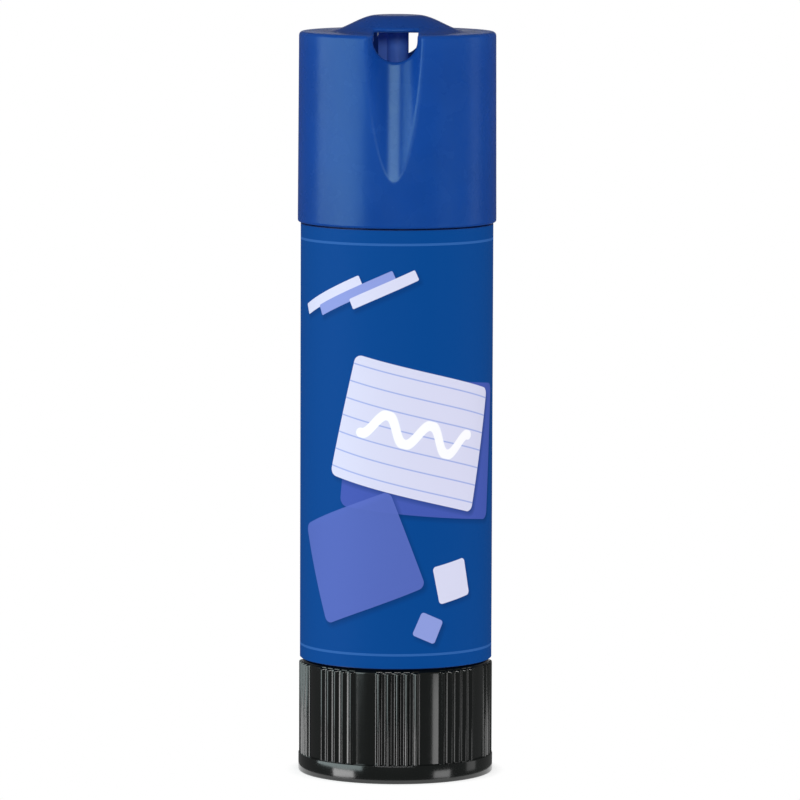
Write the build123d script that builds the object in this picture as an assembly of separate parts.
from build123d import *
import math
import os

os.makedirs("parts", exist_ok=True)

# A twist-up glue stick that stands on its knob, capped. Millimetres, +Z up, and the origin
# is the centre of the foot. The cap's two flutes face -Y and +Y.

# Every cut runs past the surface it leaves by the overrun, and joined shapes sink in by the sink
OVERRUN = 1.0
SINK = 0.3

# A rounded corner is drawn with three facets, whose middle points lie this share of its size in
CORNER_SHARE = 0.29

# The tube's skin, which the knob, the cap and everything in the bore take their radii from
TUBE_R = 13.03

# Fits
PLAY = 0.3
SLIDE_FIT = 0.1
TURN_FIT = 0.08
PRESS_FIT = 0.02

# Knob: a ribbed cup that the hand turns
KNOB_HEIGHT = 15.45
KNOB_INSET = 0.23
KNOB_WALL = 0.95
KNOB_FLOOR = 1.6
KNOB_EDGE = 0.3
FOOT_WIDTH = 1.58
FOOT_RECESS = 0.8
FOOT_ROUND = 0.5
COLLAR_PROUD = 0.48
COLLAR_HEIGHT = 2.5
RIB_HEIGHT = 0.4
RIB_ROOT = 0.95
RIB_CREST = 0.5
RIB_GROUPS = 9
RIBS_IN_GROUP = 5
RIB_PITCH_DEG = 5.6
KNOB_REST_DEG = 3.1
SNAP_HEIGHT = 0.35
SNAP_WIDTH = 0.9
HUB_R = 4.8
SOCKET_DEPTH = 5.4

# Barrel: the tube under the label, with its neck above and its snap skirt inside the knob
KNOB_GAP = 0.25
TUBE_LENGTH = 59.35
TUBE_WALL = 2.33
MOUTH_STEP = 0.8
NECK_LENGTH = 5.4
SKIRT_LENGTH = 11.0
SKIRT_WALL = 1.2
BARREL_FLOOR = 1.4
BARREL_FLOOR_DROP = 2.05
KEY_COUNT = 4
KEY_WIDTH = 1.2
KEY_HEIGHT = 0.45
KEY_SHORT = 2.2
CLICK_HEIGHT = 0.1
CLICK_WIDTH = 0.8
CLICK_DROP = 1.6

# Label: a film wrapped round the tube
LABEL_THICK = 0.1
LABEL_MARGIN = 0.06

# Screw: a left-hand thread, so the glue rises as the knob turns clockwise seen from the foot
LEAD = 4.0
CORE_R = 2.1
THREAD_HEIGHT = 0.8
THREAD_ROOT = 1.5
THREAD_CREST = 0.9
THREAD_RUNOUT = 0.8
SPINDLE_DEPTH = 6.4
SPINDLE_TIP = 0.9
JOURNAL_R = 3.2
FLANGE_R = 5.0
FLANGE_THICK = 1.1
FOOT_SQUARE = 4.6

# Carrier: the cup that rides up the screw with the glue in it
CARRIER_HEIGHT = 12.0
CARRIER_WALL = 0.8
WEB_THICK = 1.2
NUT_HEIGHT = 6.4
NUT_WALL = 1.4
LUG_WIDTH = 2.2
LUG_TIP = 1.6
LUG_REACH = 0.75
LUG_TURN_SHARE = 0.7
GRIP_HEIGHT = 0.35
GRIP_WIDTH = 1.2

# Glue bar
GLUE_GAP = 0.6
GLUE_EDGE = 0.4
GLUE_RECESS = 1.5

# Cap: the outer moulding with two tilted round flutes, their windows and a low hump
CAP_GAP = 0.2
CAP_LENGTH = 25.85
CAP_PROUD = 0.47
CAP_TAPER = 0.13
CAP_WALL = 1.1
CAP_TOP = 1.2
CAP_ROUND = 0.5
CAP_LIP = 0.25
CAP_FIT = 0.3
HUMP_LEDGE = 4.7
HUMP_TOP_R = 3.8
HUMP_HEIGHT = 2.2
HUMP_BASE_BLEND = 8.0
HUMP_TOP_BLEND = 9.0
FLUTE_COUNT = 2
FLUTE_R = 3.65
FLUTE_LENGTH = 19.8
FLUTE_DEPTH = 3.95
WINDOW_R = 3.0
WINDOW_DROP = 0.7
CANOPY_RISE = 0.1
CANOPY_R = 7.2

# Cap seal: a plug on a stem that hangs from the hump
SEAL_INSET = 0.3
SEAL_THICK = 1.2
PLUG_LENGTH = 1.1
PLUG_WALL = 1.2
STEM_R = 1.5
STEM_SEAT = 1.3
FIN_REACH = 2.6
FIN_THICK = 1.0
GUSSET_COUNT = 4
GUSSET_REACH = 6.0
GUSSET_HEIGHT = 5.0

# Heights, from the foot up
tube_bottom = KNOB_HEIGHT + KNOB_GAP
shoulder = tube_bottom + TUBE_LENGTH
cap_bottom = shoulder + CAP_GAP
rim = cap_bottom + CAP_LENGTH
apex = rim + HUMP_HEIGHT
barrel_floor = tube_bottom - BARREL_FLOOR_DROP

# Radii that follow the tube's
knob_r = TUBE_R - KNOB_INSET
collar_r = knob_r + COLLAR_PROUD
foot_inner_r = collar_r - FOOT_ROUND - FOOT_WIDTH
knob_bore_r = knob_r - KNOB_WALL
skirt_r = knob_bore_r - PLAY
bore_r = TUBE_R - TUBE_WALL
mouth_r = bore_r + MOUTH_STEP
glue_r = bore_r - GLUE_GAP
cap_r = TUBE_R + CAP_PROUD
cap_rim_r = cap_r - CAP_TAPER
cap_bore_r = cap_r - CAP_WALL
neck_r = cap_bore_r - CAP_FIT
hump_r = cap_rim_r - HUMP_LEDGE
seal_r = mouth_r - SEAL_INSET

# The flute's floor is a straight line from its tip on the skin to its depth at the rim
flute_tilt = math.atan(FLUTE_DEPTH / FLUTE_LENGTH)
flute_tip = rim - FLUTE_LENGTH
flute_wall_r = cap_r - CAP_WALL / math.cos(flute_tilt)

# The mouth ends where the flute's inner wall would meet it
mouth = flute_tip + (flute_wall_r - PLAY - mouth_r) / math.tan(flute_tilt)

knob_floor = FOOT_RECESS + KNOB_FLOOR
flange_top = barrel_floor - BARREL_FLOOR - PLAY
hub_top = flange_top - FLANGE_THICK
carrier_bottom = barrel_floor + PLAY
carrier_r = bore_r - 2 * SLIDE_FIT
cup_r = carrier_r - CARRIER_WALL
web_top = carrier_bottom + NUT_HEIGHT
carrier_top = carrier_bottom + CARRIER_HEIGHT
thread_r = CORE_R + THREAD_HEIGHT
thread_start = barrel_floor + THREAD_RUNOUT
thread_end = mouth - SPINDLE_DEPTH
nut_bore_r = thread_r + PLAY
nut_r = nut_bore_r + NUT_WALL
glue_top = mouth - GLUE_RECESS
canopy = rim + CANOPY_RISE
ceiling = rim - CAP_TOP
seal_bottom = mouth + PLAY
seal_top = seal_bottom + SEAL_THICK


def foot_corner(radius, height, size):
    """Points that round an outer corner at the foot of an outline, listed upward."""
    middle = CORNER_SHARE * size
    return [(radius - size, height), (radius - middle, height + middle), (radius, height + size)]


def top_corner(radius, height, size):
    """Points that round an outer corner at the top of an outline, listed upward."""
    middle = CORNER_SHARE * size
    return [(radius, height - size), (radius - middle, height - middle), (radius - size, height)]


def turned(points, rounds=()):
    """Turn (radius, height) points about Z. rounds lists corners to blend, each with its radius."""
    outline = make_face(Polyline(*points, close=True))
    for radius, height, blend in rounds:
        corner = outline.vertices().sort_by_distance((radius, height, 0))[0]
        outline = fillet(corner, blend)
    return revolve(Plane.XZ * outline, Axis.Z)


def around(shape, count, start_deg=0.0):
    """Copies of a shape, evenly spaced about Z."""
    return [Rot(0, 0, start_deg + 360 * i / count) * shape for i in range(count)]


def ring(inner_r, outer_r, bottom, top):
    """A plain ring between two heights."""
    return turned([(inner_r, bottom), (outer_r, bottom), (outer_r, top), (inner_r, top)])


def disc(radius, bottom, top):
    """A plain round bar about Z between two heights."""
    return Pos(0, 0, bottom) * extrude(Circle(radius), amount=top - bottom)


def ridge(radius, inward, outward, inner_width, outer_width, start, end):
    """A left-hand thread ridge on a helix of this radius, between two heights."""
    path = Helix(LEAD, end - start, radius, center=(0, 0, start), lefthand=True)
    across = Plane(origin=path @ 0, x_dir=(1, 0, 0), z_dir=path % 0)
    section = make_face(Polyline(
        (-inward, -inner_width / 2),
        (outward, -outer_width / 2),
        (outward, outer_width / 2),
        (-inward, inner_width / 2),
        close=True,
    ))
    return sweep(across * section, path=path, is_frenet=True)


# Knob

def knob_ribs():
    """Nine groups of five upright ribs, joined to the skin above the collar."""
    section = make_face(Polyline(
        (knob_r - SINK, -RIB_ROOT / 2),
        (knob_r, -RIB_ROOT / 2),
        (knob_r + RIB_HEIGHT, -RIB_CREST / 2),
        (knob_r + RIB_HEIGHT, RIB_CREST / 2),
        (knob_r, RIB_ROOT / 2),
        (knob_r - SINK, RIB_ROOT / 2),
        close=True,
    ))
    foot = COLLAR_HEIGHT - SINK
    rib = Pos(0, 0, foot) * extrude(section, amount=KNOB_HEIGHT - KNOB_EDGE - foot)
    first = -RIB_PITCH_DEG * (RIBS_IN_GROUP - 1) / 2
    group = [Rot(0, 0, first + RIB_PITCH_DEG * i) * rib for i in range(RIBS_IN_GROUP)]
    ribs = []
    for one in group:
        ribs += around(one, RIB_GROUPS, KNOB_REST_DEG - 90)
    return ribs


def make_knob():
    snap_height = (knob_floor + KNOB_HEIGHT) / 2
    shell = turned([
        (foot_inner_r, 0),
        *foot_corner(collar_r, 0, FOOT_ROUND),
        (collar_r, COLLAR_HEIGHT),
        (knob_r, COLLAR_HEIGHT),
        (knob_r, KNOB_HEIGHT - KNOB_EDGE),
        (knob_r - KNOB_EDGE, KNOB_HEIGHT),
        (knob_bore_r, KNOB_HEIGHT),
        (knob_bore_r, snap_height + SNAP_WIDTH),
        (knob_bore_r - SNAP_HEIGHT, snap_height + SNAP_WIDTH / 4),
        (knob_bore_r - SNAP_HEIGHT, snap_height - SNAP_WIDTH / 4),
        (knob_bore_r, snap_height - SNAP_WIDTH),
        (knob_bore_r, knob_floor),
        (HUB_R, knob_floor),
        (HUB_R, hub_top),
        (0, hub_top),
        (0, FOOT_RECESS),
        (foot_inner_r, FOOT_RECESS),
    ])
    socket_side = FOOT_SQUARE + 2 * PRESS_FIT
    socket = extrude(Rectangle(socket_side, socket_side), amount=SOCKET_DEPTH + OVERRUN)
    return shell + knob_ribs() - Pos(0, 0, hub_top - SOCKET_DEPTH) * socket


# Barrel and label

def make_barrel():
    skirt_bottom = tube_bottom - SKIRT_LENGTH
    groove = (knob_floor + KNOB_HEIGHT) / 2
    groove_depth = SNAP_HEIGHT + PLAY / 2
    groove_half = SNAP_WIDTH + PLAY
    click = shoulder + NECK_LENGTH - CLICK_DROP
    body = turned([
        (JOURNAL_R + TURN_FIT, barrel_floor - BARREL_FLOOR),
        (skirt_r - SKIRT_WALL, barrel_floor - BARREL_FLOOR),
        (skirt_r - SKIRT_WALL, skirt_bottom),
        (skirt_r, skirt_bottom),
        (skirt_r, groove - groove_half),
        (skirt_r - groove_depth + PLAY, groove - SNAP_WIDTH / 2),
        (skirt_r - groove_depth + PLAY, groove + SNAP_WIDTH / 2),
        (skirt_r, groove + groove_half),
        (skirt_r, tube_bottom),
        (TUBE_R, tube_bottom),
        (TUBE_R, shoulder),
        (neck_r, shoulder),
        (neck_r, click - CLICK_WIDTH),
        (neck_r + CLICK_HEIGHT, click),
        (neck_r, click + CLICK_WIDTH),
        (neck_r, shoulder + NECK_LENGTH),
        (mouth_r, shoulder + NECK_LENGTH + neck_r - mouth_r),
        (mouth_r, mouth),
        (bore_r, mouth),
        (bore_r, barrel_floor),
        (JOURNAL_R + TURN_FIT, barrel_floor),
    ])
    key_length = mouth - KEY_SHORT - barrel_floor + SINK
    key = extrude(Rectangle(KEY_HEIGHT + SINK, KEY_WIDTH), amount=key_length)
    key_middle = bore_r - (KEY_HEIGHT - SINK) / 2
    key = Pos(key_middle, 0, barrel_floor - SINK) * key
    return body + around(key, KEY_COUNT, 360 / KEY_COUNT / 2)


def make_label():
    return ring(TUBE_R, TUBE_R + LABEL_THICK, tube_bottom + LABEL_MARGIN, shoulder - LABEL_MARGIN)


# Screw, carrier and glue

def make_spindle():
    tip = thread_end + SPINDLE_TIP
    core = turned([
        (0, hub_top),
        (FLANGE_R, hub_top),
        (FLANGE_R, flange_top),
        (JOURNAL_R, flange_top),
        (JOURNAL_R, barrel_floor),
        (CORE_R, barrel_floor + PLAY),
        (CORE_R, tip - CORE_R / 3),
        (CORE_R * 2 / 3, tip),
        (0, tip),
    ])
    foot_length = SOCKET_DEPTH - PLAY
    foot = Pos(0, 0, hub_top - foot_length) * extrude(
        Rectangle(FOOT_SQUARE, FOOT_SQUARE), amount=foot_length + FLANGE_THICK / 2
    )
    thread = ridge(
        CORE_R, SINK, THREAD_HEIGHT, THREAD_ROOT, THREAD_CREST, thread_start, thread_end
    )
    return core + foot + thread


def make_carrier():
    grip = (web_top + carrier_top) / 2
    cup = turned([
        (nut_bore_r, carrier_bottom),
        (nut_r, carrier_bottom),
        (nut_r, web_top - WEB_THICK),
        (cup_r, web_top - WEB_THICK),
        (cup_r, carrier_bottom),
        (carrier_r, carrier_bottom),
        (carrier_r, carrier_top),
        (cup_r, carrier_top),
        (cup_r, grip + GRIP_WIDTH / 2),
        (cup_r - GRIP_HEIGHT, grip),
        (cup_r, grip - GRIP_WIDTH / 2),
        (cup_r, web_top),
        (nut_bore_r, web_top),
    ])
    notch_floor = bore_r - KEY_HEIGHT - 2 * SLIDE_FIT
    notch = extrude(
        Rectangle(carrier_r, KEY_WIDTH + 2 * PLAY), amount=CARRIER_HEIGHT + 2 * OVERRUN
    )
    notch = Pos(notch_floor + carrier_r / 2, 0, carrier_bottom - OVERRUN) * notch
    lug_start = thread_start + LEAD / 2
    lug = ridge(
        nut_bore_r, LUG_REACH, SINK, LUG_TIP, LUG_WIDTH, lug_start, lug_start + LEAD * LUG_TURN_SHARE
    )
    return cup - around(notch, KEY_COUNT, 360 / KEY_COUNT / 2) + lug


def make_glue(carrier):
    bore_top = thread_end + SPINDLE_TIP + PLAY
    bar = turned([
        (nut_bore_r, web_top),
        (cup_r, web_top),
        (cup_r, carrier_top),
        (glue_r, carrier_top),
        *top_corner(glue_r, glue_top, GLUE_EDGE),
        (0, glue_top),
        (0, bore_top),
        (nut_bore_r, bore_top),
    ])
    return bar - carrier


# Cap and cap seal

def flute_bar(radius):
    """A round bar along the flute on the -Y side, with its inner edge as far in as the radius asks."""
    reach = FLUTE_LENGTH + CAP_LENGTH
    along = Vector(0, math.sin(flute_tilt), math.cos(flute_tilt))
    outward = Vector(0, -math.cos(flute_tilt), math.sin(flute_tilt))
    middle = Vector(0, -cap_r, flute_tip) + outward * FLUTE_R
    base = Plane(origin=middle - along * reach, z_dir=along)
    return base * extrude(Circle(radius), amount=2 * reach)


def window_cut():
    """What opens the flute's top: a half-round trough under the canopy and a slot in front of it."""
    centre = rim - WINDOW_DROP
    outside = cap_r + OVERRUN
    inside = math.sqrt(CANOPY_R ** 2 - WINDOW_R ** 2) - SINK
    lower = Plane(origin=(0, -inside, centre), x_dir=(1, 0, 0), z_dir=(0, -1, 0))
    round_part = lower * extrude(Circle(WINDOW_R), amount=outside - inside)
    below = Pos(0, -outside / 2, centre - WINDOW_R / 2) * Box(2 * WINDOW_R, outside, WINDOW_R)
    trough_top = Pos(0, -(outside + inside) / 2, (centre + canopy) / 2) * Box(
        2 * WINDOW_R, outside - inside, canopy - centre
    )
    slot_height = apex + OVERRUN - centre
    slot = Pos(0, -(outside + CANOPY_R) / 2, centre + slot_height / 2) * Box(
        2 * WINDOW_R, outside - CANOPY_R, slot_height
    )
    return (round_part & below) + trough_top + slot


def make_cap():
    outer = turned(
        [
            (0, cap_bottom),
            *foot_corner(cap_r, cap_bottom, CAP_LIP),
            *top_corner(cap_rim_r, rim, CAP_ROUND),
            (hump_r, rim),
            (HUMP_TOP_R, apex),
            (0, apex),
        ],
        rounds=[
            (hump_r, rim, HUMP_BASE_BLEND),
            (HUMP_TOP_R, apex, HUMP_TOP_BLEND),
        ],
    )
    click = shoulder + NECK_LENGTH - CLICK_DROP + 2 * CLICK_WIDTH
    hollow = turned([
        (0, cap_bottom - OVERRUN),
        (cap_bore_r, cap_bottom - OVERRUN),
        (cap_bore_r, click - CLICK_WIDTH),
        (cap_bore_r - CLICK_HEIGHT, click),
        (cap_bore_r, click + CLICK_WIDTH),
        (cap_rim_r - CAP_WALL, ceiling),
        (CANOPY_R, ceiling),
        (CANOPY_R, canopy),
        (STEM_R + PRESS_FIT, canopy),
        (STEM_R + PRESS_FIT, canopy + STEM_SEAT + PRESS_FIT),
        (0, canopy + STEM_SEAT + PRESS_FIT),
    ])
    inner_wall = flute_bar(FLUTE_R + CAP_WALL) & outer
    shell = outer - hollow + around(inner_wall, FLUTE_COUNT)
    shell -= around(flute_bar(FLUTE_R), FLUTE_COUNT)
    return shell - around(window_cut(), FLUTE_COUNT)


def make_cap_seal():
    plug_r = bore_r - SLIDE_FIT
    plug = turned([
        (0, seal_bottom),
        (plug_r - PLUG_WALL, seal_bottom),
        (plug_r - PLUG_WALL, seal_bottom - PLUG_LENGTH),
        (plug_r - PLUG_WALL / 3, seal_bottom - PLUG_LENGTH),
        (plug_r, seal_bottom - PLUG_LENGTH * 2 / 3),
        (plug_r, seal_bottom),
        (seal_r, seal_bottom),
        (seal_r, seal_top),
        (0, seal_top),
    ])
    stem = disc(STEM_R, seal_top - SINK, canopy + STEM_SEAT)
    fin_height = canopy - PLAY - seal_top + SINK
    fin = Pos(-FIN_REACH / 2, 0, seal_top - SINK + fin_height / 2) * Box(
        FIN_REACH, FIN_THICK, fin_height
    )
    gusset = make_face(Polyline(
        (0, seal_top - SINK),
        (GUSSET_REACH, seal_top - SINK),
        (GUSSET_REACH, seal_top),
        (STEM_R, seal_top + GUSSET_HEIGHT),
        (0, seal_top + GUSSET_HEIGHT),
        close=True,
    ))
    gusset = extrude(Plane.XZ * gusset, amount=FIN_THICK / 2, both=True)
    return plug + stem + fin + around(gusset, GUSSET_COUNT)


carrier = make_carrier()
pieces = {
    "knob": make_knob(),
    "spindle": make_spindle(),
    "barrel": make_barrel(),
    "label": make_label(),
    "carrier": carrier,
    "glue_bar": make_glue(carrier),
    "cap": make_cap(),
    "cap_seal": make_cap_seal(),
}

for name, shape in pieces.items():
    export_step(shape, f"parts/{name}.step")

travel = thread_end - thread_start - (NUT_HEIGHT - THREAD_RUNOUT + PLAY)
print(f"shoulder {shoulder:.2f}  mouth {mouth:.2f}  glue top {glue_top:.2f}  rim {rim:.2f}  apex {apex:.2f}")
print(f"glue travel on the screw {travel:.2f} mm, {travel / LEAD:.2f} turns")
print(f"glue volume {pieces['glue_bar'].volume / 1000:.2f} cm3")
